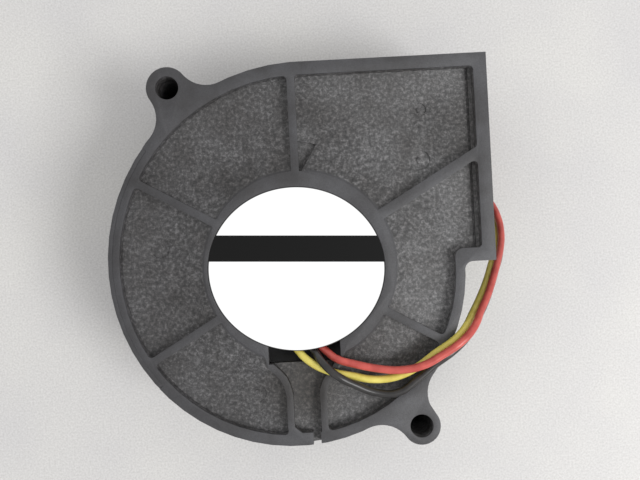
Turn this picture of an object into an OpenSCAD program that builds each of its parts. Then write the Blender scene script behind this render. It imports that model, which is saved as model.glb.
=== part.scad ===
// DC centrifugal blower with a 76 mm spiral casing, 30 mm high.
// Z is the impeller axis. The inlet faces down at Z = 0, the label faces up,
// and the outlet duct blows towards +X. Sizes are in millimetres and degrees.

/* [Casing] */
// Overall height, from the inlet face to the tops of the ribs
body_h = 30; // [28:0.5:36]
// Radius of the spiral outline where it runs into the duct
scroll_r = 39.8; // [38:0.1:42]
// Radius that the spiral loses with each degree of turn
scroll_loss = 0.029; // [0.022:0.001:0.033]
// Distance from the impeller axis to the outlet face
outlet_x = 38.1; // [37:0.1:44]
// Height of the duct's lower edge above the impeller axis, along Y
outlet_low = -0.6; // [-1:0.1:0.5]
// Thickness of the spiral wall and of the duct's side walls
wall = 1.7; // [1.4:0.1:2.2]
// Thickness of the inlet plate
plate_t = 1.6; // [1.2:0.1:2.4]
// Height of the lip round the inlet, above the inside of the plate
lip_rise = 0.8; // [0.5:0.1:1.2]
// Fillet where the spiral meets the duct
cutoff_fillet = 1.6; // [0.8:0.1:3]
// Width of the lip that laps over the left of the back casing
lap_w = 0.9; // [0.6:0.1:1.2]
// Depth of that lip below the rim
lap_drop = 0.15; // [0.1:0.05:0.6]

/* [Screw ears] */
// Distance between the two screw holes along X
ear_pitch_x = 46; // [44:0.5:48]
// Distance between the two screw holes along Y
ear_pitch_y = 68; // [66:0.5:70]
// Outer radius of the ear beside the spiral's wide end
ear_wide_r = 4.05; // [3.7:0.05:4.6]
// Outer radius of the ear beside the spiral's narrow end
ear_narrow_r = 3.65; // [3.4:0.05:4.2]
// Diameter of the screw holes
ear_hole_d = 4.5; // [3.6:0.1:5]
// Radius of the fillets that blend the ears into the spiral
ear_fillet = 6; // [4:0.5:8]

/* [Back casing] */
// Radius of the flat hub disc, at the foot of its sloped edge
hub_r = 19.4; // [18.8:0.1:20]
// Thickness of the hub disc
hub_t = 1.65; // [1.3:0.05:2]
// Width of the slope round the hub disc
hub_slope = 0.8; // [0.4:0.1:1.2]
// Thickness of the pocket floors at the rim
floor_t = 1.8; // [1.2:0.1:2]
// Depth of the pockets beside the rim
pocket_deep = 2; // [1.6:0.1:3]
// Depth of the pockets beside the hub disc
pocket_shallow = 0.7; // [0.4:0.1:1.2]
// Width of the straight ribs
rib_w = 1.5; // [1.2:0.1:2.2]
// Width of the slanted rib across the duct
duct_rib_w = 2; // [1.4:0.1:2.6]
// Rim width at the spiral's wide end
rim_wide = 2.5; // [2:0.1:3]
// Rim width at the spiral's narrow end
rim_narrow = 1.8; // [1.7:0.1:2.4]
// Rim width at the outlet and along the duct's lower wall
rim_outlet = 2.6; // [2:0.1:4]
// Radius of the pockets' corners
pocket_corner = 0.8; // [0.4:0.1:1.2]
// Width of the groove inside the outlet's rim
groove_w = 0.5; // [0.4:0.1:0.8]
// Depth of the round ejector marks in the pocket floors
mark_depth = 0.3; // [0.15:0.05:0.4]
// Width of the two curved ribs beside the lead channel
channel_rib_w = 1.3; // [1:0.1:2]
// Fillet where those ribs leave the hub disc
channel_fillet = 3; // [1:0.5:4]
// Width of the lead channel
channel_w = 5.2; // [4.4:0.1:6]
// Length of the slot that the leads come out of
slot_l = 14; // [12:0.5:16]
// Distance from the impeller axis to the slot's outer edge
slot_out = 18.6; // [18.2:0.1:19]
// Distance from the impeller axis to the slot's inner edge
slot_in = 14.2; // [13.4:0.1:14.6]
// Width of the notch that lets the leads out through the rim
notch_w = 1.5; // [1:0.1:2.4]
// Thickness of the skirt that fits inside the spiral wall
skirt_t = 1; // [0.8:0.1:1.2]
// Depth of that skirt
skirt_h = 3; // [2.6:0.1:4]
// Width of each snap lug
lug_w = 4; // [3:0.5:6]

/* [Label] */
// Width of the oval label
label_w = 34.3; // [30:0.1:36]
// Height of the oval label
label_h = 31.8; // [28:0.1:33]
// Thickness of the label
label_t = 0.15; // [0.1:0.05:0.3]
// Turn of the label from the casing's own axes
label_turn = -3; // [-6:0.5:6]

/* [Impeller] */
// Number of blades
blade_n = 37; // [29:2:43]
// Radial depth of a blade
blade_depth = 4.8; // [4:0.1:5.6]
// Thickness of a blade
blade_t = 0.8; // [0.6:0.05:1]
// Angle that a blade sweeps round the axis, from inner to outer edge
blade_sweep = 7; // [4:0.5:10]
// Running gap between the impeller and the back casing's skirt
tip_gap = 1.6; // [1.2:0.1:2.4]
// Running gap between the impeller and the casing's flat walls
end_gap = 1.4; // [1:0.1:2]
// Thickness of the impeller's hub cup
cup_t = 1.3; // [1:0.1:1.6]
// Thickness of the disc that carries the blades
disc_t = 1.2; // [1:0.1:1.6]
// Height of the ring that ties the blades at the inlet
ring_h = 2; // [1.4:0.1:3]

/* [Rotor] */
// Outer radius of the steel yoke
yoke_r = 15.6; // [15:0.1:16]
// Wall thickness of the yoke
yoke_t = 1; // [0.8:0.1:1.2]
// Height of the yoke
yoke_h = 18; // [17:0.1:19]
// Radial thickness of the magnet ring
magnet_t = 1.25; // [1:0.05:1.5]
// Height of the magnet ring
magnet_h = 14; // [12:0.5:14.5]
// Diameter of the shaft
shaft_d = 3; // [2.5:0.1:3.2]
// Radius of the brass bush in the yoke
bush_r = 3.2; // [2.8:0.1:3.6]
// Height of the brass bush
bush_h = 5; // [4:0.2:5.4]

/* [Bearing] */
// Outer radius of the bearing tube
tube_r = 5; // [4.8:0.1:5.4]
// Wall thickness of the bearing tube
tube_t = 1; // [0.8:0.05:1.1]
// Length of the sintered sleeve
sleeve_l = 12.6; // [11:0.2:13]
// Radial clearance between shaft and sleeve
shaft_fit = 0.03; // [0.02:0.005:0.05]

/* [Stator] */
// Height of the laminated core
core_h = 8; // [7:0.5:8.5]
// Air gap between the core and the magnet ring
air_gap = 0.4; // [0.3:0.05:0.6]
// Width of each of the four teeth
tooth_w = 4.6; // [4:0.1:5]
// Half the angle that a pole shoe spans
shoe_half = 37; // [32:1:39]
// Thickness of the plastic insulators
insul_t = 0.8; // [0.6:0.1:1]
// Thickness of a winding round its tooth
coil_t = 1.9; // [1.4:0.1:2.1]

/* [Board] */
// Radius of the circuit board
board_r = 16.6; // [15:0.1:17]
// Thickness of the circuit board
board_t = 1; // [0.8:0.1:1.2]
// Gap between the board and the hub disc
board_gap = 0.7; // [0.6:0.1:0.9]
// Radius of the pins that carry the winding ends
pin_r = 0.35; // [0.25:0.05:0.45]

/* [Leads] */
// Diameter of a lead over its insulation
lead_d = 1.5; // [1.3:0.1:1.6]
// Pitch of the contacts in the connector
contact_pitch = 2.5; // [2.4:0.1:2.6]
// Thickness of the tie round the coiled leads
tie_t = 0.3; // [0.2:0.05:0.35]

/* [Hidden] */
$fn = 72;
outline_fn = 40;

// Clearances that the moulded and pressed parts share
fit = 0.05;
slack = 0.1;
overcut = 1;
far = 80;

// Screw holes, centred a little off the impeller axis
ear_mid = [-1, 2];
ear_wide = ear_mid + [-ear_pitch_x, ear_pitch_y] / 2;
ear_narrow = ear_mid + [ear_pitch_x, -ear_pitch_y] / 2;

// Spiral outline: the radius falls steadily from the duct round to the cutoff
spiral_from = 90;
spiral_to = 360;
spiral_step = 6;
function scroll_at(a) = scroll_r - scroll_loss * (a - spiral_from);
function polar(r, a) = [r * cos(a), r * sin(a)];
cutoff_r = scroll_at(spiral_to);

// Levels of the back casing, from the ribs downwards
hub_top = body_h - label_t;
hub_under = hub_top - hub_t;
floor_hub = body_h - pocket_shallow;
floor_rim = body_h - pocket_deep;
split_z = floor_rim - floor_t;
under_hub = split_z + 1.2;
cone_r = cutoff_r - wall - 2;
motor_bay_r = hub_r - 1.2;

// Lap between the two shells on the left side
lap_from = 140;
lap_to = 218;

// Ribs and the lead channel
ribs = [[30, duct_rib_w], [90, rib_w], [150, rib_w], [210, rib_w], [330, rib_w]];
notch_x = 0.9;
channel_end = cutoff_r + 0.2;
channel_in = slot_out + 2.6;
channel_floor = body_h - 2 * pocket_shallow;

// Ejector marks: centre and diameter
marks = [[-27.3, 4.9, 3.8], [25, 29.6, 2.7], [24.7, 19.7, 3.9], [-9.6, -24.4, 3.5]];

// Snap lugs on the skirt, and the windows that they click into
lug_angles = [160, 205, 250, 335];
lug_duct_x = 20;
lug_h = 1.2;
lug_out = 0.8;
lug_z = split_z - skirt_h + 0.2;
window_slack = 0.3;

// Impeller and rotor levels
impeller_r = cutoff_r - wall - slack - skirt_t - tip_gap;
blade_in = impeller_r - blade_depth;
inlet_r = blade_in + 0.7;
rotor_top = split_z - end_gap + 0.4;
blade_low = plate_t + end_gap;
yoke_top = rotor_top - 1.4;
yoke_low = yoke_top - yoke_h;
yoke_in = yoke_r - yoke_t;
cup_in = yoke_r + fit;
cup_r = cup_in + cup_t;
cup_low = yoke_low - fit - cup_t;
magnet_out = yoke_in - fit;
magnet_in = magnet_out - magnet_t;
magnet_low = yoke_top - 0.8 - magnet_h;
shaft_r = shaft_d / 2;

// Board, stator and bearing levels
board_top = hub_under - board_gap;
board_low = board_top - board_t;
boss_r = tube_r + 2;
boss_low = board_low - 1.6;
core_top = board_low - 5.6;
core_low = core_top - core_h;
core_r = magnet_in - air_gap;
shoe_in = core_r * 0.876;
core_hub_r = tube_r + 0.28 * (core_r - tube_r);
tube_in = tube_r - tube_t;
tube_low = yoke_low + bush_h + 0.6;
sleeve_low = tube_low + 0.6;
sleeve_top = sleeve_low + sleeve_l;
washer_t = 0.5;
clip_t = 0.4;
clip_z = sleeve_top + washer_t + 0.5;
groove_r = shaft_r * 0.75;
pad_t = 0.45;
post_r = core_r * 0.062;
post_at = core_r - post_r - slack;
pin_sink = 2 * board_t;
pin_proud = 0.4;
chip_at = board_r * 0.66;
chip_size = [board_r * 0.24, board_r * 0.3, board_t * 1.3];
leg_l = chip_size[0] / 4;
leg_w = leg_l * 0.4;
hall_w = board_r * 0.18;
part_at = board_r * 0.57;
part_size = [board_r * 0.12, board_r * 0.085, board_t * 0.7];

// Leads: points along each centreline, from the board to the duct
lead_r = lead_d / 2;
red_route = [
    [2.8, -15.4, 28.4], [4.1, -16.6, 28.9], [6.3, -18.1, 30.6], [9.5, -19.1, 31.1],
    [13.8, -20.1, 31.5], [18.1, -20.5, 32.1], [22.4, -19.8, 32.5], [26.4, -17.9, 32.5],
    [30.0, -15.7, 32.4], [32.8, -13.4, 30.9], [35.2, -10.6, 27.5], [37.6, -7.7, 24.4],
    [39.5, -4.7, 21.8], [41.3, -1.7, 19.1], [42.9, 1.3, 16.4], [44.0, 4.6, 13.7],
    [44.2, 8.2, 11.1], [43.3, 11.7, 8.7], [41.1, 15.2, 7.1], [37.4, 17.2, 6.3],
    [32.9, 17.4, 5.9]
];
yellow_route = [
    [-2.1, -15.4, 28.4], [0.6, -18.2, 29.7], [4.6, -20.3, 30.8], [8.9, -21.4, 30.8],
    [13.1, -22.3, 30.8], [17.5, -22.0, 30.8], [21.5, -20.4, 30.8], [25.2, -17.9, 30.8],
    [29.0, -15.4, 31.1], [31.2, -13.6, 30.0], [33.8, -11.0, 26.6], [36.4, -8.1, 23.2],
    [38.5, -5.2, 20.5], [40.3, -2.3, 17.8], [42.0, 0.7, 15.1], [43.1, 3.9, 12.4],
    [43.4, 7.4, 9.8], [42.5, 10.9, 7.3], [40.6, 14.4, 5.6], [37.3, 17.0, 4.6],
    [32.9, 17.4, 4.3]
];
black_route = [
    [0.6, -15.4, 28.4], [2.0, -16.7, 29.2], [3.3, -18.3, 31.7], [5.8, -20.6, 33.0],
    [9.5, -23.0, 31.9], [13.4, -24.8, 31.0], [17.6, -25.1, 30.8], [21.4, -22.8, 30.8],
    [25.0, -20.1, 30.8], [28.9, -17.5, 30.8], [32.6, -14.9, 28.1], [35.3, -12.1, 25.0],
    [37.6, -9.3, 22.4], [39.6, -6.3, 19.8], [41.4, -3.3, 17.2], [43.2, -0.3, 14.4],
    [44.3, 3.1, 11.8], [44.8, 6.8, 9.1], [44.1, 10.3, 6.6], [42.1, 13.7, 4.3],
    [40.0, 16.0, 3.2], [37.2, 17.2, 2.8], [32.9, 17.4, 2.7]
];
// Points along each centreline from the coil to the connector
red_tail = [
    [34.9, 26.0, 7.9], [35.2, 21.5, 8.0], [35.6, 17.0, 7.9], [35.8, 12.8, 4.4], [35.9, 9.2, 4.1]
];
yellow_tail = [
    [33.2, 26.0, 7.9], [33.3, 21.5, 8.0], [33.4, 17.0, 7.9], [33.4, 12.8, 4.4], [33.4, 9.2, 4.1]
];
black_tail = [
    [31.5, 26.0, 7.9], [31.4, 21.5, 8.0], [31.2, 17.0, 7.9], [31.0, 12.8, 4.4], [30.9, 9.2, 4.1]
];
// The leads' spare length is wound into one flat coil on the duct floor
coil_mid = [27.2, 26.8];
coil_r_in = 7.8;
coil_r_out = 9.4;
coil_floor = plate_t + tie_t + fit;
coil_step = lead_d + 0.1;
function coil_low(level) = coil_floor + level * coil_step;
// Connector, standing on the duct floor
conn_mid_x = 33.4;
conn_low_y = 3;
conn_l = 7.6;
conn_h = 4.8;
conn_low_z = plate_t + fit;
conn_w = 3 * contact_pitch + 1.5;
cavity_w = lead_d + 0.3;
contact_l = 5;
lead_end_y = 9.2;
contact_z = 4.1;

// Colours of the real parts
plastic_grey = [0.25, 0.25, 0.26];
impeller_black = [0.1, 0.1, 0.11];
steel = [0.7, 0.71, 0.73];
brass = [0.78, 0.62, 0.32];
copper = [0.72, 0.36, 0.18];
nylon = [0.93, 0.92, 0.86];

// ---- Outlines ----

// Spiral with its inside filled, drawn in by inset(a) at each angle
module spiral_area(wide_inset = 0, narrow_inset = 0)
    polygon(concat(
        [for (a = [spiral_from : spiral_step : spiral_to])
            let (t = (a - spiral_from) / (spiral_to - spiral_from))
            polar(scroll_at(a) - wide_inset - (narrow_inset - wide_inset) * t, a)],
        [[0, 0]]
    ));

// The duct, from the impeller axis to the outlet face
module duct_area(top_inset = 0, low_inset = 0, face_inset = 0)
    translate([0, outlet_low + low_inset])
        square([outlet_x - face_inset, scroll_r - top_inset - outlet_low - low_inset]);

// Outline of the casing without its ears
module casing_area()
    offset(r = -cutoff_fillet, $fn = outline_fn) offset(delta = cutoff_fillet) {
        spiral_area();
        duct_area();
    }

// An ear, blended into the spiral by two large fillets
module ear_area(centre, r)
    offset(r = -ear_fillet, $fn = outline_fn) offset(delta = ear_fillet) {
        spiral_area();
        translate(centre) circle(r);
    }

// Outline of the casing with its ears
module full_area() {
    casing_area();
    ear_area(ear_wide, ear_wide_r);
    ear_area(ear_narrow, ear_narrow_r);
}

// The air passage, open at the outlet
module hollow_area() {
    offset(delta = -wall) casing_area();
    translate([outlet_x - 3 * wall, outlet_low + wall])
        square([3 * wall + overcut, scroll_r - outlet_low - 2 * wall]);
}

// Wedge between two angles
module wedge(from, to)
    polygon(concat([[0, 0]], [for (a = [from : (to - from) / 6 : to + 0.01]) polar(far, a)]));

// Band along the left of the outline where the shells lap, from w inside it to out beyond it
module lap_area(w, out = 0)
    intersection() {
        difference() {
            offset(delta = out) casing_area();
            offset(delta = -w) casing_area();
        }
        wedge(lap_from, lap_to);
    }

module ear_holes()
    for (centre = [ear_wide, ear_narrow])
        translate([centre[0], centre[1], -overcut])
            cylinder(h = body_h + 2 * overcut, d = ear_hole_d);

// ---- Back casing ----

// Inside of the lead channel, with the notch that leads out through the rim
module channel_area() {
    half = channel_w / 2;
    polygon([
        [-half - 3.5, -slot_out], [-half - 2.2, -slot_out - 1.3], [-half - 1.1, -channel_in],
        [-half - 0.4, -channel_in - 1.6], [-half, -channel_in - 3.6], [-half, -channel_end + 1.2],
        [-half + 1.4, -channel_end], [notch_x, -channel_end], [half, -channel_end],
        [half, -channel_in - 2.8], [half + 0.7, -channel_in - 1], [half + 1.8, -channel_in + 0.6],
        [half + 3.4, -slot_out]
    ]);
    translate([notch_x, -scroll_r]) square([notch_w, scroll_r - channel_end + overcut]);
}

// Hub disc and channel with its two curved ribs, blended by large fillets
module hub_block()
    offset(r = -channel_fillet, $fn = outline_fn) offset(delta = channel_fillet) {
        circle(hub_r - hub_slope - 0.2);
        offset(r = channel_rib_w, $fn = outline_fn) channel_area();
    }

module rib_area()
    for (rib = ribs)
        rotate(rib[0]) translate([0, -rib[1] / 2]) square([far, rib[1]]);

// Everything inside the rim, one open field from the duct to the spiral's narrow end
module rim_inside()
    offset(r = -cutoff_fillet, $fn = outline_fn) offset(delta = cutoff_fillet) {
        spiral_area(rim_wide, rim_narrow);
        duct_area(rim_wide, rim_outlet, rim_outlet);
        translate([0, -overcut]) square([cutoff_r - rim_narrow, outlet_low + rim_outlet + overcut]);
    }

// All the pockets at once, with rounded corners
module pocket_area()
    offset(r = pocket_corner, $fn = outline_fn / 2) offset(delta = -pocket_corner)
        difference() {
            rim_inside();
            hub_block();
            rib_area();
        }

// Groove in the pocket floors along the outlet's rim
module outlet_groove()
    translate([0, 0, floor_rim - groove_w])
        linear_extrude(body_h)
            intersection() {
                pocket_area();
                translate([outlet_x - rim_outlet - 2.4 * groove_w, 0]) square([groove_w, far]);
            }

// Shallow round marks, each with a small pip in the middle
module ejector_marks()
    for (mark = marks)
        translate([mark[0], mark[1], floor_at(norm([mark[0], mark[1]])) - mark_depth])
            difference() {
                cylinder(h = body_h, d = mark[2]);
                translate([0, 0, -overcut]) cylinder(h = overcut + mark_depth * 0.7, d = mark[2] * 0.35);
            }

// What stays below the pockets: a floor that falls away from the hub's sloped edge
module floor_cone()
    rotate_extrude()
        polygon([
            [0, 0], [far, 0], [far, floor_rim], [cone_r, floor_rim],
            [hub_r, floor_hub], [hub_r - hub_slope, body_h],
            [hub_r - hub_slope, body_h + overcut], [0, body_h + overcut]
        ]);
function floor_at(r) = floor_hub - (floor_hub - floor_rim) * min((r - hub_r) / (cone_r - hub_r), 1);

// The lead channel's floor, which starts lower, at the slot
module channel_cone()
    rotate_extrude()
        polygon([
            [0, 0], [far, 0], [far, floor_rim - slack], [cone_r, floor_rim - slack],
            [slot_out - 0.4, channel_floor], [0, channel_floor]
        ]);

// The space below the back casing, which steps up to the motor bay
module under_space()
    rotate_extrude()
        polygon([
            [0, 0], [cone_r, 0], [cone_r, split_z], [hub_r, under_hub],
            [motor_bay_r, under_hub], [motor_bay_r, hub_under], [0, hub_under]
        ]);

// Deep corner of the duct pocket, beside the upright rib
module deep_corner()
    translate([0, 0, under_hub + 0.5])
        linear_extrude(body_h)
            polygon([
                [rib_w / 2, hub_r - hub_slope], [rib_w / 2 + 0.5, hub_r - hub_slope],
                [rib_w / 2 + 3.6, hub_r + 4.4], [rib_w / 2, hub_r + 5.2]
            ]);

module skirt()
    translate([0, 0, split_z - skirt_h])
        linear_extrude(skirt_h)
            difference() {
                offset(delta = -wall - slack) casing_area();
                offset(delta = -wall - slack - skirt_t) casing_area();
                translate([outlet_x - 4 * wall, outlet_low]) square([4 * wall, scroll_r]);
            }

// A block on the outside of the skirt, or the window that it clicks into
module snap(a, grow, out)
    rotate(a)
        translate([scroll_at(a) - wall - slack - skirt_t / 2, -lug_w / 2 - grow, lug_z - grow])
            cube([skirt_t / 2 + out, lug_w + 2 * grow, lug_h + 2 * grow]);

module snaps(grow, out) {
    for (a = lug_angles)
        snap(a, grow, out);
    translate([lug_duct_x - lug_w / 2 - grow, scroll_r - wall - slack - skirt_t / 2, lug_z - grow])
        cube([lug_w + 2 * grow, skirt_t / 2 + out, lug_h + 2 * grow]);
}

module back_casing()
    color(plastic_grey) {
        difference() {
            translate([0, 0, split_z])
                linear_extrude(body_h - split_z)
                    difference() {
                        full_area();
                        lap_area(lap_w + fit, overcut);
                    }
            under_space();
            difference() {
                translate([0, 0, split_z]) linear_extrude(body_h) pocket_area();
                floor_cone();
            }
            difference() {
                translate([0, 0, split_z]) linear_extrude(body_h) channel_area();
                channel_cone();
            }
            deep_corner();
            outlet_groove();
            ejector_marks();
            label_disc(body_h, 2 * slack);
            translate([-slot_l / 2, -slot_out, split_z]) cube([slot_l, slot_out - slot_in, body_h]);
            ear_holes();
        }
        skirt();
        snaps(0, slack + lug_out);
        translate([0, 0, boss_low])
            difference() {
                cylinder(h = hub_under + fit - boss_low, r = boss_r);
                translate([0, 0, -overcut]) cylinder(h = hub_under + overcut - boss_low, r = tube_r + 0.02);
            }
    }

// ---- Front casing ----

// The inlet's bore, and the rounding at the inner end of its lip
module inlet_hole() {
    translate([0, 0, -overcut]) cylinder(h = far, r = inlet_r);
    translate([0, 0, plate_t])
        rotate_extrude()
            difference() {
                square([inlet_r + lip_rise, lip_rise + overcut]);
                translate([inlet_r + lip_rise, 0]) circle(lip_rise);
            }
}

module front_casing()
    color(plastic_grey)
        difference() {
            union() {
                difference() {
                    linear_extrude(split_z) full_area();
                    translate([0, 0, plate_t]) linear_extrude(body_h) hollow_area();
                }
                translate([0, 0, split_z - fit])
                    linear_extrude(body_h - lap_drop - split_z + fit) lap_area(lap_w);
                cylinder(h = plate_t + lip_rise, r = inlet_r + lip_rise + 0.8);
            }
            inlet_hole();
            ear_holes();
            snaps(window_slack, slack + wall + overcut);
        }

// ---- Label ----

// The label's oval, standing on its bed in the hub disc
module label_disc(h, grow)
    translate([-0.7, -0.3, hub_top])
        rotate(label_turn)
            scale([1, label_h / label_w, 1])
                cylinder(h = h, d = label_w + grow);

module label()
    color([0.97, 0.97, 0.97])
        label_disc(label_t, 0);

// ---- Rotor ----

// One forward-curved blade: an arc between two radii, thickened on both sides
blade_steps = 5;
function blade_line(s) = polar(
    blade_in + (blade_depth - 0.3) * s,
    -blade_sweep * (s - 0.55 * sin(180 * s) * 0.5)
);
module blade_shape()
    polygon(concat(
        [for (i = [0 : blade_steps]) blade_line(i / blade_steps) + [0, blade_t / 2]],
        [for (i = [blade_steps : -1 : 0]) blade_line(i / blade_steps) - [0, blade_t / 2]]
    ));

module impeller()
    color(impeller_black) {
        // Hub cup, with a rounded nose towards the inlet
        nose = 1.5;
        rotate_extrude()
            difference() {
                union() {
                    translate([0, cup_low]) square([cup_r - nose, cup_t]);
                    translate([cup_in, cup_low + nose]) square([cup_t, rotor_top - disc_t - cup_low - nose]);
                    translate([cup_r - nose, cup_low + nose]) circle(nose);
                }
                translate([0, yoke_low - fit]) square([cup_in, yoke_h]);
                square([bush_r + 0.6, cup_low + cup_t / 2]);
            }
        // Dished disc and tie ring
        rotate_extrude()
            polygon([
                [cup_r - 0.1, rotor_top - disc_t - 2.4], [blade_in - 0.5, rotor_top - disc_t],
                [impeller_r, rotor_top - disc_t], [impeller_r, rotor_top], [blade_in - 1.1, rotor_top],
                [cup_in, rotor_top - 2], [cup_in, rotor_top - disc_t - 2.4]
            ]);
        translate([0, 0, blade_low])
            difference() {
                cylinder(h = ring_h, r = impeller_r);
                translate([0, 0, -overcut]) cylinder(h = ring_h + 2 * overcut, r = impeller_r - 1.1);
            }
        for (i = [0 : blade_n - 1])
            rotate((i + 0.4) * 360 / blade_n)
                translate([0, 0, blade_low]) linear_extrude(rotor_top - disc_t / 2 - blade_low) blade_shape();
    }

module rotor_yoke()
    color(steel)
        rotate_extrude() {
            translate([bush_r + 0.02, yoke_low]) square([yoke_r - bush_r - 0.02, yoke_t]);
            translate([yoke_in, yoke_low]) square([yoke_t, yoke_h]);
        }

module magnet_ring()
    color([0.16, 0.15, 0.15])
        translate([0, 0, magnet_low])
            difference() {
                cylinder(h = magnet_h, r = magnet_out);
                translate([0, 0, -overcut]) cylinder(h = magnet_h + 2 * overcut, r = magnet_in);
            }

module shaft_bush()
    color(brass)
        difference() {
            union() {
                translate([0, 0, yoke_low]) cylinder(h = bush_h, r = bush_r);
                translate([0, 0, yoke_low + yoke_t]) cylinder(h = 1.2, r = bush_r + 1.8);
            }
            translate([0, 0, yoke_low - overcut]) cylinder(h = bush_h + 2 * overcut, r = shaft_r + 0.01);
        }

module shaft()
    color(steel)
        rotate_extrude()
            polygon([
                [0, yoke_low + 0.2], [shaft_r - 0.2, yoke_low + 0.2], [shaft_r, yoke_low + 0.4],
                [shaft_r, clip_z - fit], [groove_r, clip_z - fit], [groove_r, clip_z + clip_t + fit],
                [shaft_r, clip_z + clip_t + fit], [shaft_r, hub_under - pad_t - 0.5],
                [shaft_r - 0.5, hub_under - pad_t - fit], [0, hub_under - pad_t - fit]
            ]);

module retaining_clip()
    color(steel)
        translate([0, 0, clip_z])
            difference() {
                cylinder(h = clip_t, r = tube_in - 0.6);
                translate([0, 0, -overcut]) cylinder(h = clip_t + 2 * overcut, r = groove_r + 0.02);
                translate([0, -0.5, -overcut]) cube([far, 1, clip_t + 2 * overcut]);
            }

// ---- Bearing ----

module bearing_tube()
    color(brass)
        translate([0, 0, tube_low])
            difference() {
                cylinder(h = hub_under - tube_low, r = tube_r);
                translate([0, 0, -overcut]) cylinder(h = body_h, r = tube_in);
            }

module sleeve_bearing()
    color(copper)
        translate([0, 0, sleeve_low])
            difference() {
                cylinder(h = sleeve_l, r = tube_in - 0.02);
                translate([0, 0, -overcut]) cylinder(h = sleeve_l + 2 * overcut, r = shaft_r + shaft_fit);
            }

module oil_washer()
    color(nylon)
        translate([0, 0, sleeve_top])
            difference() {
                cylinder(h = washer_t, r = tube_in - fit);
                translate([0, 0, -overcut]) cylinder(h = washer_t + 2 * overcut, r = shaft_r + 0.2);
            }

module thrust_pad()
    color(nylon)
        translate([0, 0, hub_under - pad_t]) cylinder(h = pad_t, r = tube_in - fit);

// ---- Stator ----

// The laminations: a hub, four teeth and four pole shoes
module lamination(shoe_from, shoe_to, tooth, hub_out, hub_in, half_angle)
    difference() {
        union() {
            circle(hub_out);
            for (a = [0 : 90 : 270])
                rotate(a) translate([0, -tooth / 2]) square([shoe_from + 0.5, tooth]);
            intersection() {
                difference() {
                    circle(shoe_to);
                    circle(shoe_from);
                }
                for (a = [0 : 90 : 270])
                    rotate(a) wedge(-half_angle, half_angle);
            }
        }
        circle(hub_in);
    }

module stator_core()
    color([0.55, 0.56, 0.58])
        translate([0, 0, core_low])
            linear_extrude(core_h)
                lamination(shoe_in, core_r, tooth_w, core_hub_r, tube_r + 0.02, shoe_half);

// One bobbin half: a plate on the core, with walls that hold the windings
module insulator(flip) {
    wall_h = coil_t + 0.5;
    level = flip ? core_low : core_top;
    translate([0, 0, level])
        mirror([0, 0, flip ? 1 : 0]) {
            linear_extrude(insul_t)
                lamination(shoe_in, core_r - 0.3, tooth_w + 0.8, core_hub_r + 0.6, tube_r + 0.1, shoe_half - 2);
            linear_extrude(insul_t + wall_h)
                intersection() {
                    difference() {
                        circle(shoe_in + 0.8);
                        circle(shoe_in);
                    }
                    for (a = [0 : 90 : 270])
                        rotate(a) wedge(-shoe_half + 8, shoe_half - 8);
                }
        }
}

module upper_insulator()
    color(nylon)
        difference() {
            union() {
                insulator(false);
                for (a = [0 : 90 : 270])
                    rotate(a) translate([post_at, 0, core_top]) cylinder(h = board_low - core_top, r = post_r);
            }
            for (a = [0 : 90 : 270])
                rotate(a) translate([post_at, 0, board_low - pin_sink])
                    cylinder(h = 2 * pin_sink, r = pin_r + 0.02);
        }

module lower_insulator()
    color(nylon)
        insulator(true);

module windings()
    color(copper)
        intersection() {
            for (a = [0 : 90 : 270])
                rotate(a) {
                    inner_w = tooth_w + 0.8 + 2 * fit;
                    inner_h = core_h + 2 * insul_t + 2 * fit;
                    translate([core_hub_r + 0.8, 0, (core_low + core_top) / 2])
                        rotate([90, 0, 90])
                            linear_extrude(shoe_in - core_hub_r - 0.9)
                                difference() {
                                    offset(r = coil_t) square([inner_w, inner_h], center = true);
                                    square([inner_w, inner_h], center = true);
                                }
                }
            cylinder(h = body_h, r = shoe_in - 2 * slack);
        }

module winding_pins()
    color(steel)
        for (a = [0 : 90 : 270])
            rotate(a) translate([post_at, 0, board_low - pin_sink])
                cylinder(h = pin_sink + board_t + pin_proud, r = pin_r);

// ---- Board ----

module circuit_board()
    color([0.36, 0.2, 0.08])
        translate([0, 0, board_low])
            difference() {
                cylinder(h = board_t, r = board_r);
                translate([0, 0, -overcut]) cylinder(h = board_t + 2 * overcut, r = boss_r + 0.3);
                for (a = [0 : 90 : 270])
                    rotate(a) translate([post_at, 0, -overcut])
                        cylinder(h = board_t + 2 * overcut, r = pin_r + fit);
            }

// A moulded chip under the board, with a row of bent legs on each side
module driver_chip()
    color([0.08, 0.08, 0.09])
        rotate(135)
            translate([chip_at, 0, board_low]) {
                translate([-chip_size[0] / 2, -chip_size[1] / 2, -chip_size[2] - 2 * slack]) cube(chip_size);
                for (side = [-1, 1], i = [-1.5 : 1 : 1.5])
                    translate([side * leg_l * 2.4, i * chip_size[1] / 4, -chip_size[2] / 4])
                        cube([leg_l, leg_w, chip_size[2] / 2], center = true);
            }

module hall_sensor()
    color([0.08, 0.08, 0.09])
        rotate(60)
            translate([magnet_in - 2 * slack, -hall_w / 2, yoke_top - slack])
                cube([magnet_t, hall_w, board_low - yoke_top + slack]);

module chip_parts()
    color([0.62, 0.55, 0.45])
        for (a = [25, 205, 225, 245, 315])
            rotate(a) translate([part_at, -part_size[1] / 2, board_low - part_size[2]]) cube(part_size);

module solder_joints()
    color(steel)
        for (x = [red_route[0][0], yellow_route[0][0], black_route[0][0]])
            translate([x, red_route[0][1] + 0.85, board_top]) cylinder(h = 0.6, r1 = 0.8, r2 = 0.5);

// ---- Leads ----

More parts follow.
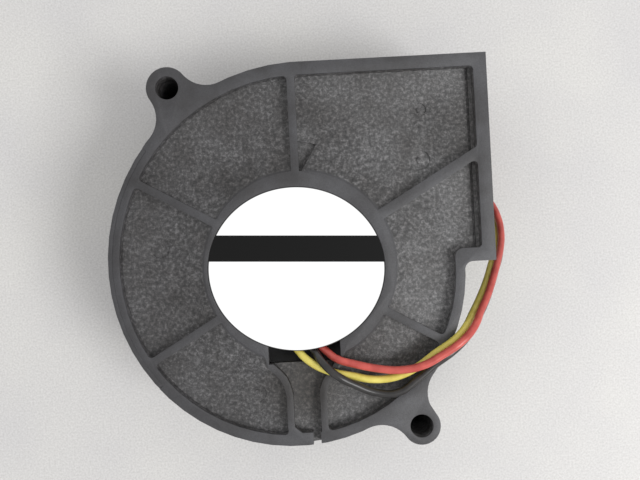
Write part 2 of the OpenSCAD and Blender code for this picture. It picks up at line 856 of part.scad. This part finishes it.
// A round tube along a list of points, with its frame carried along without twist
tube_sides = 8;
function unit(v) = v / norm(v);
function heading(p, i) = unit(p[min(i + 1, len(p) - 1)] - p[max(i - 1, 0)]);
function square_to(v, t) = unit(v - (v * t) * t);
function carried(p, i) = square_to(i == 0 ? [1, 0.3, 0.2] : carried(p, i - 1), heading(p, i));
module tube(p, r) {
    rings = [for (i = [0 : len(p) - 1])
        let (u = carried(p, i), v = cross(heading(p, i), u))
        [for (k = [0 : tube_sides - 1]) let (a = 360 * k / tube_sides) p[i] + r * (u * cos(a) + v * sin(a))]];
    last = (len(p) - 1) * tube_sides;
    polyhedron(
        points = [for (ring = rings) each ring],
        faces = concat(
            [[for (k = [0 : tube_sides - 1]) k]],
            [[for (k = [tube_sides - 1 : -1 : 0]) last + k]],
            [for (i = [0 : len(p) - 2], k = [0 : tube_sides - 1])
                let (a = i * tube_sides + k, b = i * tube_sides + (k + 1) % tube_sides)
                each [[a, a + tube_sides, b], [b, a + tube_sides, b + tube_sides]]]
        ),
        convexity = 6
    );
}

module lead(route, tail, tint)
    color(tint) {
        tube(route, lead_r);
        tube(tail, lead_r);
    }

// One lead's share of the coil: a flat ring that its turns fill
module lead_coil(level, tint)
    color(tint)
        translate([coil_mid[0], coil_mid[1], 0])
            rotate_extrude()
                translate([coil_r_in - lead_r, coil_low(level)])
                    square([coil_r_out - coil_r_in + lead_d, lead_d]);

lead_red = [0.78, 0.16, 0.13];
lead_yellow = [0.88, 0.8, 0.16];
lead_black = [0.08, 0.08, 0.08];
module red_lead() lead(red_route, red_tail, lead_red);
module yellow_lead() lead(yellow_route, yellow_tail, lead_yellow);
module black_lead() lead(black_route, black_tail, lead_black);
module red_coil() lead_coil(2, lead_red);
module yellow_coil() lead_coil(1, lead_yellow);
module black_coil() lead_coil(0, lead_black);

module coil_tie() {
    w = coil_r_out - coil_r_in + lead_d + 2 * fit;
    h = coil_low(2) + lead_d - coil_floor + 2 * fit;
    color([0.1, 0.1, 0.1])
        translate([coil_mid[0] - coil_r_out - lead_r - fit, coil_mid[1] - 1, coil_floor - fit])
            rotate([90, 0, 0])
                translate([0, 0, -2])
                    linear_extrude(2)
                        difference() {
                            translate([-tie_t, -tie_t + fit]) square([w + 2 * tie_t, h + 2 * tie_t - fit]);
                            square([w, h]);
                        }
}

module terminal(place, tint)
    color(brass)
        translate([conn_mid_x + place * contact_pitch, lead_end_y - fit - contact_l, contact_z])
            difference() {
                translate([-0.65, 0, -0.65]) cube([1.3, contact_l, 1.3]);
                translate([-0.4, -overcut, -0.4]) cube([0.8, contact_l, 0.8]);
            }

module red_terminal() terminal(1);
module yellow_terminal() terminal(0);
module black_terminal() terminal(-1);

module connector_housing()
    color(nylon)
        translate([conn_mid_x - conn_w / 2, conn_low_y, conn_low_z])
            difference() {
                cube([conn_w, conn_l, conn_h]);
                for (place = [-1, 0, 1])
                    translate([conn_w / 2 + place * contact_pitch, 0, contact_z - conn_low_z]) {
                        translate([-cavity_w / 2, 0.8, -cavity_w / 2]) cube([cavity_w, conn_l, cavity_w]);
                        cube([0.7, 2 * overcut, 0.7], center = true);
                    }
                // Steps along the top, between the contacts
                for (side = [-1, 1])
                    translate([conn_w / 2 + side * contact_pitch / 2 - 0.4, -overcut, conn_h - 0.6])
                        cube([0.8, conn_l, 2 * overcut]);
            }

back_casing();
front_casing();
label();
impeller();
rotor_yoke();
magnet_ring();
shaft_bush();
shaft();
retaining_clip();
bearing_tube();
sleeve_bearing();
oil_washer();
thrust_pad();
stator_core();
upper_insulator();
lower_insulator();
windings();
winding_pins();
circuit_board();
driver_chip();
hall_sensor();
chip_parts();
solder_joints();
red_lead();
yellow_lead();
black_lead();
red_coil();
yellow_coil();
black_coil();
coil_tie();
red_terminal();
yellow_terminal();
black_terminal();
connector_housing();
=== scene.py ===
import math

import bpy
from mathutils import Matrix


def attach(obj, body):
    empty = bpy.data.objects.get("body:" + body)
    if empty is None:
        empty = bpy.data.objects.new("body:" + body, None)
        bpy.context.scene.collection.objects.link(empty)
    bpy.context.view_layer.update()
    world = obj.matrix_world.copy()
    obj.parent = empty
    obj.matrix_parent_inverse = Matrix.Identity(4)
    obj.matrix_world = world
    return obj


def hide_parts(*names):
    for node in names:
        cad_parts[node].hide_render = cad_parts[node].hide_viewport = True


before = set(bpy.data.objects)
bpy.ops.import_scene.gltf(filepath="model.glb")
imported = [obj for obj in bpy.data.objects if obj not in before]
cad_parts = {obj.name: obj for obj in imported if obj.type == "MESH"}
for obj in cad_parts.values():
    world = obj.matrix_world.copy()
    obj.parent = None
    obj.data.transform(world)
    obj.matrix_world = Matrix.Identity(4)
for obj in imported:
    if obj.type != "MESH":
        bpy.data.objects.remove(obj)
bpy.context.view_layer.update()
mm = 0.001

# ---- Camera ----
# It hangs over the label side, 150 mm above the table and a little to the outlet's side,
# and looks straight down, turned three degrees from the casing's own axes.
bpy.ops.object.camera_add(
    location=(4.14 * mm, 5.02 * mm, 150 * mm), rotation=(0, 0, math.radians(-3)))
camera = bpy.context.object
camera.name = "overhead_camera"
camera.data.sensor_width = 36
camera.data.lens = 34.83
camera.data.clip_start = 0.01
camera.data.clip_end = 20
bpy.context.scene.camera = camera

# ---- Leads ----
# Three hook-up wires of stranded copper in soft vinyl, 1.5 mm over the insulation. They leave the
# slot under the label, cross the ribs, drop past the cutoff and turn into the outlet's mouth.
lead_radius = 0.75 * mm
red_route = [
    (2.8, -15.4, 28.4), (4.1, -16.6, 28.9), (6.3, -18.1, 30.6), (9.5, -19.1, 31.1),
    (13.8, -20.1, 31.5), (18.1, -20.5, 32.1), (22.4, -19.8, 32.5), (26.4, -17.9, 32.5),
    (30.0, -15.7, 32.4), (32.8, -13.4, 30.9), (35.2, -10.6, 27.5), (37.6, -7.7, 24.4),
    (39.5, -4.7, 21.8), (41.3, -1.7, 19.1), (42.9, 1.3, 16.4), (44.0, 4.6, 13.7),
    (44.2, 8.2, 11.1), (43.3, 11.7, 8.7), (41.1, 15.2, 7.1), (37.4, 17.2, 6.3),
    (32.9, 17.4, 5.9)]
yellow_route = [
    (-2.1, -15.4, 28.4), (0.6, -18.2, 29.7), (4.6, -20.3, 30.8), (8.9, -21.4, 30.8),
    (13.1, -22.3, 30.8), (17.5, -22.0, 30.8), (21.5, -20.4, 30.8), (25.2, -17.9, 30.8),
    (29.0, -15.4, 31.1), (31.2, -13.6, 30.0), (33.8, -11.0, 26.6), (36.4, -8.1, 23.2),
    (38.5, -5.2, 20.5), (40.3, -2.3, 17.8), (42.0, 0.7, 15.1), (43.1, 3.9, 12.4),
    (43.4, 7.4, 9.8), (42.5, 10.9, 7.3), (40.6, 14.4, 5.6), (37.3, 17.0, 4.6),
    (32.9, 17.4, 4.3)]
black_route = [
    (0.6, -15.4, 28.4), (2.0, -16.7, 29.2), (3.3, -18.3, 31.7), (5.8, -20.6, 33.0),
    (9.5, -23.0, 31.9), (13.4, -24.8, 31.0), (17.6, -25.1, 30.8), (21.4, -22.8, 30.8),
    (25.0, -20.1, 30.8), (28.9, -17.5, 30.8), (32.6, -14.9, 28.1), (35.3, -12.1, 25.0),
    (37.6, -9.3, 22.4), (39.6, -6.3, 19.8), (41.4, -3.3, 17.2), (43.2, -0.3, 14.4),
    (44.3, 3.1, 11.8), (44.8, 6.8, 9.1), (44.1, 10.3, 6.6), (42.1, 13.7, 4.3),
    (40.0, 16.0, 3.2), (37.2, 17.2, 2.8), (32.9, 17.4, 2.7)]
red_tail = [
    (34.9, 26.0, 7.9), (35.2, 21.5, 8.0), (35.6, 17.0, 7.9), (35.8, 12.8, 4.4), (35.9, 9.2, 4.1)]
yellow_tail = [
    (33.2, 26.0, 7.9), (33.3, 21.5, 8.0), (33.4, 17.0, 7.9), (33.4, 12.8, 4.4), (33.4, 9.2, 4.1)]
black_tail = [
    (31.5, 26.0, 7.9), (31.4, 21.5, 8.0), (31.2, 17.0, 7.9), (31.0, 12.8, 4.4), (30.9, 9.2, 4.1)]

# The spare length's coil, in millimetres as the routes are
coil_x, coil_y = 27.2, 26.8
coil_radius = 9.4
second_turn_in = 1.6
turns = 1.72
steps_a_turn = 28
crossing_height = 7.9


def eased(value, start, end):
    share = min(max((value - start) / (end - start), 0), 1)
    return share * share * (3 - 2 * share)


def coil_turns(level, inward):
    # The spare length lies in one and three quarter turns, outer turn first, then steps inward and
    # rises to cross the coil on its way to the connector.
    points = []
    for step in range(1, int(turns * steps_a_turn) + 1):
        turn = step / steps_a_turn
        angle = math.radians(-90 - 360 * turn)
        radius = (coil_radius - second_turn_in * eased(turn, 0.62, 1.02)
                  - inward * eased(turn, 1.1, 1.45))
        height = level + (crossing_height - level) * eased(turn, 1.42, turns)
        points.append((
            coil_x + radius * math.cos(angle), coil_y + radius * math.sin(angle), height))
    return points


def lay_lead(name, points):
    wire = bpy.data.curves.new(name, "CURVE")
    wire.dimensions = "3D"
    wire.bevel_depth = lead_radius
    wire.bevel_resolution = 5
    wire.use_fill_caps = True
    wire.resolution_u = 6
    spline = wire.splines.new("BEZIER")
    spline.bezier_points.add(len(points) - 1)
    for place, point in zip(spline.bezier_points, points):
        place.co = [value * mm for value in point]
        place.handle_left_type = "AUTO"
        place.handle_right_type = "AUTO"
    lead = bpy.data.objects.new(name, wire)
    bpy.context.collection.objects.link(lead)
    return lead


def start_finish(name, roughness):
    finish = bpy.data.materials.new(name)
    finish.use_nodes = True
    shader = finish.node_tree.nodes["Principled BSDF"]
    shader.inputs["Roughness"].default_value = roughness
    return finish, finish.node_tree, shader


def grain(tree, size, detail=3.0, contrast=0.5, squash=(1, 1, 1)):
    # Cloudy grain whose lumps are about the given size across, in metres
    place = tree.nodes.new("ShaderNodeTexCoord")
    fit = tree.nodes.new("ShaderNodeMapping")
    fit.inputs["Scale"].default_value = squash
    cloud = tree.nodes.new("ShaderNodeTexNoise")
    cloud.inputs["Scale"].default_value = 1 / size
    cloud.inputs["Detail"].default_value = detail
    cloud.inputs["Roughness"].default_value = contrast
    tree.links.new(place.outputs["Object"], fit.inputs["Vector"])
    tree.links.new(fit.outputs["Vector"], cloud.inputs["Vector"])
    return cloud.outputs["Fac"]


def shade(tree, value, stops):
    # Turns a value into a colour, by stops of (value, colour)
    ramp = tree.nodes.new("ShaderNodeValToRGB")
    while len(ramp.color_ramp.elements) < len(stops):
        ramp.color_ramp.elements.new(0.5)
    for stop, (place, colour) in zip(ramp.color_ramp.elements, stops):
        stop.position = place
        stop.color = (*colour, 1)
    tree.links.new(value, ramp.inputs["Fac"])
    return ramp.outputs["Color"]


def tint(tree, shader, value, stops):
    # Colours a whole finish by such stops
    tree.links.new(shade(tree, value, stops), shader.inputs["Base Color"])


def relief(tree, shader, heights):
    # Stacks bumps of (height value, depth in metres, strength) on the surface
    below = None
    for value, depth, strength in heights:
        bump = tree.nodes.new("ShaderNodeBump")
        bump.inputs["Distance"].default_value = depth
        bump.inputs["Strength"].default_value = strength
        tree.links.new(value, bump.inputs["Height"])
        if below:
            tree.links.new(below, bump.inputs["Normal"])
        below = bump.outputs["Normal"]
    tree.links.new(below, shader.inputs["Normal"])


def vinyl(name, dark, light):
    # Extruded vinyl: a soft gloss, faint handling marks and slight waviness along the wire
    finish, tree, shader = start_finish(name, 0.34)
    shader.inputs["Specular IOR Level"].default_value = 0.5
    shader.inputs["Subsurface Weight"].default_value = 0.06
    shader.inputs["Subsurface Radius"].default_value = (0.001, 0.0006, 0.0004)
    tint(tree, shader, grain(tree, 2.2 * mm, 4), [(0.3, dark), (0.7, light)])
    relief(tree, shader, [
        (grain(tree, 1.1 * mm, 2), 0.05 * mm, 0.5), (grain(tree, 0.16 * mm, 2), 0.008 * mm, 0.5)])
    return finish


red_wire = lay_lead("red_wire", red_route + coil_turns(5.9, 0) + red_tail)
yellow_wire = lay_lead("yellow_wire", yellow_route + coil_turns(4.3, 1.6) + yellow_tail)
black_wire = lay_lead("black_wire", black_route + coil_turns(2.7, 3.2) + black_tail)
red_wire.data.materials.append(vinyl("red_vinyl", (0.4, 0.055, 0.045), (0.58, 0.1, 0.08)))
yellow_wire.data.materials.append(vinyl("yellow_vinyl", (0.56, 0.46, 0.08), (0.74, 0.64, 0.15)))
black_wire.data.materials.append(vinyl("black_vinyl", (0.012, 0.011, 0.011), (0.035, 0.032, 0.03)))
for wire, colour in ((red_wire, "red"), (yellow_wire, "yellow"), (black_wire, "black")):
    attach(wire, "root")
    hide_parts(colour + "_lead", colour + "_coil")

# ---- Tie and connector ----
# A strip of soft black nylon holds the coil. The leads end in tinned crimp contacts, side by
# side in a small housing of natural nylon.


def dress(node, finish):
    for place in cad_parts[node].material_slots:
        place.material = finish


tie_nylon, tree, shader = start_finish("tie_nylon", 0.5)
tint(tree, shader, grain(tree, 0.6 * mm), [(0.3, (0.02, 0.02, 0.02)), (0.7, (0.045, 0.045, 0.045))])
relief(tree, shader, [(grain(tree, 0.2 * mm, squash=(1, 1, 4)), 0.03 * mm, 0.6)])
dress("coil_tie", tie_nylon)

natural_nylon, tree, shader = start_finish("natural_nylon", 0.42)
shader.inputs["Subsurface Weight"].default_value = 0.15
shader.inputs["Subsurface Radius"].default_value = (0.001, 0.001, 0.0008)
tint(tree, shader, grain(tree, 3 * mm), [(0.3, (0.72, 0.7, 0.62)), (0.7, (0.82, 0.8, 0.73))])
relief(tree, shader, [(grain(tree, 0.25 * mm), 0.01 * mm, 0.5)])
dress("connector_housing", natural_nylon)

contact_tin, tree, shader = start_finish("contact_tin", 0.3)
shader.inputs["Metallic"].default_value = 1.0
tint(tree, shader, grain(tree, 0.5 * mm), [(0.3, (0.62, 0.61, 0.58)), (0.7, (0.78, 0.77, 0.74))])
relief(tree, shader, [(grain(tree, 0.12 * mm, squash=(6, 1, 6)), 0.006 * mm, 0.5)])
for contact in ("red_terminal", "yellow_terminal", "black_terminal"):
    dress(contact, contact_tin)

# ---- Casing ----
# Two shells of black glass-filled polyester, snapped together. The pockets keep a coarse speckle
# from the spark-eroded mould, and the rims and ribs that stand above them are finer and smoother.
rim_foot, rim_top = 29.55 * mm, 29.75 * mm
# Ends of the painted side light: painted shade at the far side, painted light on the outlet side
painted_shade_end, painted_light_end = -36 * mm, 34 * mm
slot_place = (0, -23 * mm, 28 * mm)
edge_radius = 0.18 * mm


def rising(tree, value, start, end):
    # 0 where the value is at start, 1 where it is at end, and a straight line between them
    span = tree.nodes.new("ShaderNodeMapRange")
    span.inputs["From Min"].default_value = start
    span.inputs["From Max"].default_value = end
    tree.links.new(value, span.inputs["Value"])
    return span.outputs["Result"]


def multiplied(tree, under, over):
    # One colour darkened by another
    mix = tree.nodes.new("ShaderNodeMix")
    mix.data_type = "RGBA"
    mix.blend_type = "MULTIPLY"
    mix.inputs["Factor"].default_value = 1.0
    tree.links.new(under, mix.inputs["A"])
    tree.links.new(over, mix.inputs["B"])
    return mix.outputs["Result"]


casing_polyester, tree, shader = start_finish("casing_polyester", 0.55)
place = tree.nodes.new("ShaderNodeTexCoord")
split = tree.nodes.new("ShaderNodeSeparateXYZ")
tree.links.new(place.outputs["Object"], split.inputs["Vector"])
speckle = grain(tree, 0.7 * mm, 6, 0.78)
fine = grain(tree, 0.16 * mm, 2, 0.5)
coarse_colour = shade(tree, speckle, [
    (0.34, (0.026, 0.026, 0.027)), (0.5, (0.082, 0.081, 0.082)), (0.68, (0.25, 0.246, 0.25))])
smooth_colour = shade(tree, fine, [(0.3, (0.058, 0.058, 0.062)), (0.7, (0.086, 0.086, 0.092))])
faces = tree.nodes.new("ShaderNodeMix")
faces.data_type = "RGBA"
tree.links.new(rising(tree, split.outputs["Z"], rim_foot, rim_top), faces.inputs["Factor"])
tree.links.new(coarse_colour, faces.inputs["A"])
tree.links.new(smooth_colour, faces.inputs["B"])
# Cloudy patches, painted light that pales the outlet side and painted shade that darkens the far
# side, and a browner stretch of the channel below the slot
patches = shade(tree, grain(tree, 8 * mm, 4, 0.6), [
    (0.36, (0.62, 0.6, 0.585)), (0.64, (1.0, 1.0, 1.0))])
# Painted light and shade: the colour runs from painted shade on the far side to full brightness on
# the outlet side, where the lamp stands
painted_side_light = shade(tree, rising(tree, split.outputs["X"], painted_shade_end, painted_light_end), [
    (0.0, (0.66, 0.65, 0.66)), (1.0, (1.0, 1.0, 1.0))])
from_slot = tree.nodes.new("ShaderNodeVectorMath")
from_slot.operation = "DISTANCE"
from_slot.inputs[1].default_value = slot_place
tree.links.new(place.outputs["Object"], from_slot.inputs[0])
browning = shade(tree, rising(tree, from_slot.outputs["Value"], 3 * mm, 10 * mm), [
    (0.0, (0.5, 0.46, 0.41)), (1.0, (1.0, 1.0, 1.0))])
mottled = multiplied(tree, faces.outputs["Result"], patches)
with_painted_side_light = multiplied(tree, mottled, painted_side_light)
tree.links.new(multiplied(tree, with_painted_side_light, browning), shader.inputs["Base Color"])
relief(tree, shader, [(speckle, 0.12 * mm, 0.55), (fine, 0.03 * mm, 0.5)])


def round_edges(node, name):
    # The moulded shell with its sharp edges rounded, in place of the plain solid
    bpy.ops.object.select_all(action="DESELECT")
    shell = bpy.data.objects.new(name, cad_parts[node].data.copy())
    bpy.context.collection.objects.link(shell)
    bpy.context.view_layer.objects.active = shell
    shell.select_set(True)
    bpy.ops.object.mode_set(mode="EDIT")
    bpy.ops.mesh.select_all(action="SELECT")
    bpy.ops.mesh.remove_doubles(threshold=0.002 * mm)
    bpy.ops.mesh.dissolve_limited(angle_limit=math.radians(0.6))
    bpy.ops.object.mode_set(mode="OBJECT")
    rounding = shell.modifiers.new("rounding", "BEVEL")
    rounding.width = edge_radius
    rounding.segments = 2
    rounding.limit_method = "ANGLE"
    rounding.angle_limit = math.radians(38)
    rounding.use_clamp_overlap = True
    bpy.ops.object.modifier_apply(modifier=rounding.name)
    bpy.ops.object.shade_smooth_by_angle(angle=math.radians(34))
    return shell


back_shell = round_edges("back_casing", "back_shell")
front_shell = round_edges("front_casing", "front_shell")
for shell, node in ((back_shell, "back_casing"), (front_shell, "front_casing")):
    shell.data.materials.clear()
    shell.data.materials.append(casing_polyester)
    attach(shell, "root")
    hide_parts(node)

# ---- Label ----
# An oval of satin white film with one plain black band, stuck on the hub disc a few degrees askew,
# with a thin painted shadow line along its edge where the cut edge lifts.
label_half_length, label_half_width = 17.15 * mm, 15.9 * mm
band_middle = 3.9 * mm
band_half_width = 2.55 * mm
band_blur = 0.03 * mm
label_film, tree, shader = start_finish("label_film", 0.5)
shader.inputs["Specular IOR Level"].default_value = 0.12
place = tree.nodes.new("ShaderNodeTexCoord")
turn = tree.nodes.new("ShaderNodeMapping")
turn.vector_type = "TEXTURE"
turn.inputs["Location"].default_value = (-0.7 * mm, -0.3 * mm, 0)
turn.inputs["Rotation"].default_value = (0, 0, math.radians(-3))
split = tree.nodes.new("ShaderNodeSeparateXYZ")
tree.links.new(place.outputs["Object"], turn.inputs["Vector"])
tree.links.new(turn.outputs["Vector"], split.inputs["Vector"])
from_band = tree.nodes.new("ShaderNodeMath")
from_band.operation = "SUBTRACT"
from_band.inputs[1].default_value = band_middle
tree.links.new(split.outputs["Y"], from_band.inputs[0])
beside_band = tree.nodes.new("ShaderNodeMath")
beside_band.operation = "ABSOLUTE"
tree.links.new(from_band.outputs["Value"], beside_band.inputs[0])
off_band = rising(
    tree, beside_band.outputs["Value"], band_half_width - band_blur, band_half_width + band_blur)
to_oval = tree.nodes.new("ShaderNodeVectorMath")
to_oval.operation = "MULTIPLY"
to_oval.inputs[1].default_value = (1 / label_half_length, 1 / label_half_width, 0)
tree.links.new(turn.outputs["Vector"], to_oval.inputs[0])
from_middle = tree.nodes.new("ShaderNodeVectorMath")
from_middle.operation = "LENGTH"
tree.links.new(to_oval.outputs["Vector"], from_middle.inputs[0])
# Painted shadow: a thin near-black line along the oval's edge, for the shade under its lifting cut
# edge
clear_of_edge_shadow = rising(tree, from_middle.outputs["Value"], 0.996, 0.988)
white_part = tree.nodes.new("ShaderNodeMath")
white_part.operation = "MULTIPLY"
tree.links.new(off_band, white_part.inputs[0])
tree.links.new(clear_of_edge_shadow, white_part.inputs[1])
tint(tree, shader, white_part.outputs["Value"], [
    (0.0, (0.006, 0.006, 0.006)), (1.0, (0.88, 0.88, 0.88))])
relief(tree, shader, [
    (grain(tree, 5 * mm, 2), 0.06 * mm, 0.25), (grain(tree, 0.2 * mm, 2), 0.004 * mm, 0.4)])
dress("label", label_film)

# ---- Impeller ----
# One moulding of smooth black plastic: the hub cup, the dished disc and its forward-curved
# blades, tied by a ring at the inlet.
impeller_plastic, tree, shader = start_finish("impeller_plastic", 0.4)
tint(tree, shader, grain(tree, 4 * mm, 4), [
    (0.3, (0.016, 0.016, 0.017)), (0.7, (0.034, 0.034, 0.036))])
relief(tree, shader, [
    (grain(tree, 0.3 * mm, 2), 0.012 * mm, 0.5), (grain(tree, 3 * mm, 2), 0.05 * mm, 0.3)])
dress("impeller", impeller_plastic)

# ---- Rotor and bearing ----
# A deep-drawn steel yoke with a bonded ferrite ring, on a ground shaft in a brass bush. The shaft
# runs in a sintered bronze sleeve pressed into a brass tube.
yoke_steel, tree, shader = start_finish("yoke_steel", 0.32)
shader.inputs["Metallic"].default_value = 1.0
tint(tree, shader, grain(tree, 0.5 * mm, 3, squash=(1, 1, 8)), [
    (0.3, (0.46, 0.47, 0.49)), (0.7, (0.6, 0.61, 0.63))])
relief(tree, shader, [(grain(tree, 0.15 * mm, squash=(1, 1, 10)), 0.01 * mm, 0.4)])
for piece in ("rotor_yoke", "shaft", "retaining_clip", "winding_pins"):
    dress(piece, yoke_steel)

bonded_ferrite, tree, shader = start_finish("bonded_ferrite", 0.6)
tint(tree, shader, grain(tree, 0.3 * mm), [
    (0.3, (0.03, 0.028, 0.027)), (0.7, (0.07, 0.065, 0.062))])
relief(tree, shader, [(grain(tree, 0.12 * mm), 0.02 * mm, 0.6)])
dress("magnet_ring", bonded_ferrite)

turned_brass, tree, shader = start_finish("turned_brass", 0.28)
shader.inputs["Metallic"].default_value = 1.0
tint(tree, shader, grain(tree, 0.6 * mm, squash=(1, 1, 6)), [
    (0.3, (0.6, 0.43, 0.18)), (0.7, (0.74, 0.56, 0.27))])
relief(tree, shader, [(grain(tree, 0.1 * mm, squash=(1, 1, 12)), 0.01 * mm, 0.5)])
for piece in ("shaft_bush", "bearing_tube"):
    dress(piece, turned_brass)

sintered_bronze, tree, shader = start_finish("sintered_bronze", 0.5)
shader.inputs["Metallic"].default_value = 1.0
tint(tree, shader, grain(tree, 0.12 * mm), [(0.35, (0.25, 0.15, 0.07)), (0.65, (0.52, 0.34, 0.18))])
relief(tree, shader, [(grain(tree, 0.08 * mm), 0.02 * mm, 0.7)])
dress("sleeve_bearing", sintered_bronze)
for piece in ("oil_washer", "thrust_pad"):
    dress(piece, natural_nylon)

# ---- Stator ----
# Stacked electrical-steel sheets between two nylon insulators, with four windings of enamelled
# copper wire.
sheet_thickness = 0.5 * mm
enamelled_diameter = 0.22 * mm
stacked_sheets, tree, shader = start_finish("stacked_sheets", 0.45)
shader.inputs["Metallic"].default_value = 0.9
place = tree.nodes.new("ShaderNodeTexCoord")
layers = tree.nodes.new("ShaderNodeTexWave")
layers.bands_direction = "Z"
layers.inputs["Scale"].default_value = 1 / (math.pi * sheet_thickness)
layers.inputs["Distortion"].default_value = 0.2
tree.links.new(place.outputs["Object"], layers.inputs["Vector"])
tint(tree, shader, layers.outputs["Fac"], [(0.1, (0.12, 0.12, 0.13)), (0.5, (0.4, 0.41, 0.43))])
relief(tree, shader, [
    (layers.outputs["Fac"], 0.03 * mm, 0.6), (grain(tree, 0.2 * mm), 0.01 * mm, 0.5)])
dress("stator_core", stacked_sheets)
for piece in ("upper_insulator", "lower_insulator"):
    dress(piece, natural_nylon)

enamelled_wire, tree, shader = start_finish("enamelled_wire", 0.3)
shader.inputs["Metallic"].default_value = 0.85
place = tree.nodes.new("ShaderNodeTexCoord")
wound = tree.nodes.new("ShaderNodeTexWave")
wound.wave_type = "RINGS"
wound.rings_direction = "Z"
wound.inputs["Scale"].default_value = 1 / (math.pi * enamelled_diameter)
wound.inputs["Distortion"].default_value = 0.4
tree.links.new(place.outputs["Object"], wound.inputs["Vector"])
tint(tree, shader, wound.outputs["Fac"], [(0.1, (0.2, 0.06, 0.02)), (0.6, (0.62, 0.27, 0.1))])
relief(tree, shader, [(wound.outputs["Fac"], 0.08 * mm, 0.8)])
dress("windings", enamelled_wire)

# ---- Board ----
# A ring of brown phenolic board with a driver chip, a magnetic sensor and a few ceramic parts
# under it, and the three solder joints of the leads on top.
phenolic_board, tree, shader = start_finish("phenolic_board", 0.5)
tint(tree, shader, grain(tree, 0.5 * mm, 4, squash=(1, 5, 1)), [
    (0.3, (0.05, 0.024, 0.01)), (0.7, (0.12, 0.06, 0.025))])
relief(tree, shader, [(grain(tree, 0.3 * mm, squash=(1, 6, 1)), 0.02 * mm, 0.5)])
dress("circuit_board", phenolic_board)

moulded_epoxy, tree, shader = start_finish("moulded_epoxy", 0.6)
tint(tree, shader, grain(tree, 0.15 * mm), [
    (0.3, (0.012, 0.012, 0.013)), (0.7, (0.03, 0.03, 0.031))])
relief(tree, shader, [(grain(tree, 0.08 * mm), 0.01 * mm, 0.6)])
for piece in ("driver_chip", "hall_sensor"):
    dress(piece, moulded_epoxy)

fired_ceramic, tree, shader = start_finish("fired_ceramic", 0.45)
tint(tree, shader, grain(tree, 0.3 * mm), [(0.3, (0.36, 0.27, 0.18)), (0.7, (0.5, 0.4, 0.28))])
relief(tree, shader, [(grain(tree, 0.1 * mm), 0.01 * mm, 0.5)])
dress("chip_parts", fired_ceramic)

bright_solder, tree, shader = start_finish("bright_solder", 0.25)
shader.inputs["Metallic"].default_value = 1.0
tint(tree, shader, grain(tree, 0.3 * mm), [(0.3, (0.6, 0.61, 0.62)), (0.7, (0.78, 0.79, 0.8))])
relief(tree, shader, [(grain(tree, 0.3 * mm), 0.03 * mm, 0.5)])
dress("solder_joints", bright_solder)

# ---- Table and light ----
# A pale grey laminate table with a fine speckle, under a soft sky and one wide lamp that stands
# beyond the outlet.
bpy.ops.object.select_all(action="DESELECT")
bpy.ops.mesh.primitive_plane_add(size=4, location=(0, 0, 0))
table_top = bpy.context.object
table_top.name = "table_top"
laminate, tree, shader = start_finish("laminate", 0.6)
clouds = grain(tree, 0.03, 3)
specks = grain(tree, 0.45 * mm, 2, 0.5)
speckled = multiplied(
    tree,
    shade(tree, specks, [(0.3, (0.56, 0.55, 0.54)), (0.7, (0.68, 0.67, 0.66))]),
    shade(tree, clouds, [(0.35, (0.94, 0.94, 0.95)), (0.65, (1.0, 1.0, 0.99))]))
tree.links.new(speckled, shader.inputs["Base Color"])
relief(tree, shader, [(specks, 0.05 * mm, 0.3)])
table_top.data.materials.append(laminate)

sky = bpy.data.worlds.new("soft_sky")
sky.use_nodes = True
sky.node_tree.nodes["Background"].inputs["Color"].default_value = (1, 1, 1, 1)
sky.node_tree.nodes["Background"].inputs["Strength"].default_value = 0.8
bpy.context.scene.world = sky
bpy.ops.object.light_add(type="AREA", location=(0.42, -0.20, 0.56))
lamp = bpy.context.object
lamp.name = "wide_lamp"
lamp.data.size = 0.26
lamp.data.energy = 3.0
lamp.rotation_euler = lamp.location.to_track_quat("Z", "Y").to_euler()
bpy.context.scene.view_settings.view_transform = "Standard"
